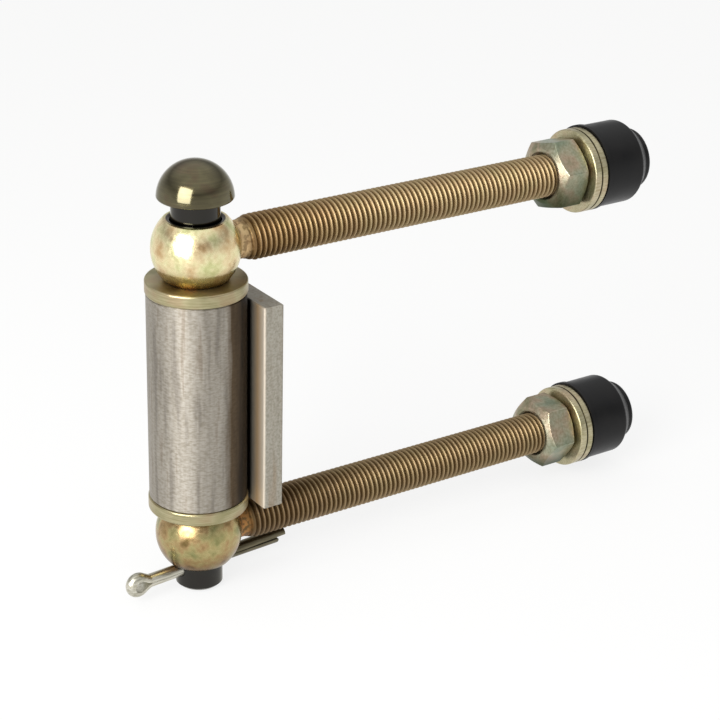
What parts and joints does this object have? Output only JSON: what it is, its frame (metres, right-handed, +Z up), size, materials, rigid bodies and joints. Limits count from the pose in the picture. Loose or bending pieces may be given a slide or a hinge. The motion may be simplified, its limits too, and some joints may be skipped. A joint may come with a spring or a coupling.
{
  "type": "adjustable gate hinge",
  "caption": "Weld-on gate hinge: a sleeve with a flat bar turns on a pin held by two eye bolts, whose nuts set the gate in or out.",
  "frame": {"origin": "middle of the weld bar's outer face, which is welded to a gate's frame or a post", "axes": "+X out of the weld bar's face and along both threaded rods as pictured, +Z up the pin towards its head, +Y to the side that the weld is on"},
  "size_m": [0.2202, 0.0344, 0.1553],
  "materials": {
    "pin_steel": "dark burnished olive zinc on turned steel",
    "wire_steel": "zinc plated half-round wire",
    "tube_steel": "drawn tube, bare and lightly oiled, with streaks along it",
    "bar_steel": "bright rolled flat bar, lightly oiled",
    "weld_metal": "weld metal with ripples",
    "washer_zinc": "pale yellow passivated zinc",
    "bolt_zinc": "yellow passivated zinc on a forged eye and a rolled thread",
    "nut_zinc": "zinc with a green and pink tint",
    "cap_plastic": "satin black moulded polyethylene"
  },
  "bodies": {
    "weldment": {"sleeve": "tube_steel", "weld_bar": "bar_steel", "weld_bead": "weld_metal", "upper_thrust_washer": "washer_zinc", "lower_thrust_washer": "washer_zinc"},
    "pin": {"hinge_pin": "pin_steel", "split_pin": "wire_steel"},
    "upper_bolt": {"upper_eye_bolt": "bolt_zinc", "upper_outer_washer": "washer_zinc", "upper_outer_nut": "nut_zinc"},
    "upper_washer": {"upper_inner_washer": "washer_zinc"},
    "upper_nut": {"upper_inner_nut": "nut_zinc"},
    "upper_cap": {"upper_end_cap": "cap_plastic"},
    "lower_bolt": {"lower_eye_bolt": "bolt_zinc", "lower_outer_washer": "washer_zinc", "lower_outer_nut": "nut_zinc"},
    "lower_washer": {"lower_inner_washer": "washer_zinc"},
    "lower_nut": {"lower_inner_nut": "nut_zinc"},
    "lower_cap": {"lower_end_cap": "cap_plastic"}
  },
  "joints": [
    {"name": "pin_turn", "type": "hinge", "parent": "weldment", "child": "pin", "pos_m": [-0.025, 0, 0.005], "axis": [0, 0, 1], "continuous": true},
    {"name": "upper_bolt_swing", "type": "hinge", "parent": "weldment", "child": "upper_bolt", "pos_m": [-0.025, 0, 0.0575], "axis": [0, 0, 1], "continuous": true},
    {"name": "upper_nut_travel", "type": "slide", "parent": "upper_bolt", "child": "upper_washer", "axis": [1, 0, 0], "range_m": [-0.106, 0]},
    {"name": "upper_nut_turn", "type": "hinge", "parent": "upper_washer", "child": "upper_nut", "pos_m": [0.1198, 0, 0.0575], "axis": [1, 0, 0], "range_deg": [-19080, 0]},
    {"name": "upper_cap_pull", "type": "slide", "parent": "upper_bolt", "child": "upper_cap", "axis": [1, 0, 0], "range_m": [0, 0.03]},
    {"name": "lower_bolt_swing", "type": "hinge", "parent": "weldment", "child": "lower_bolt", "pos_m": [-0.025, 0, -0.0475], "axis": [0, 0, 1], "continuous": true},
    {"name": "lower_nut_travel", "type": "slide", "parent": "lower_bolt", "child": "lower_washer", "axis": [1, 0, 0], "range_m": [-0.106, 0]},
    {"name": "lower_nut_turn", "type": "hinge", "parent": "lower_washer", "child": "lower_nut", "pos_m": [0.1222, 0, -0.0475], "axis": [1, 0, 0], "range_deg": [-19080, 0]},
    {"name": "lower_cap_pull", "type": "slide", "parent": "lower_bolt", "child": "lower_cap", "axis": [1, 0, 0], "range_m": [0, 0.03]}
  ],
  "couplings": [
    {"joint": "upper_nut_travel", "follows": "upper_nut_turn", "m_per_rad": 0.00031831},
    {"joint": "lower_nut_travel", "follows": "lower_nut_turn", "m_per_rad": 0.00031831}
  ]
}
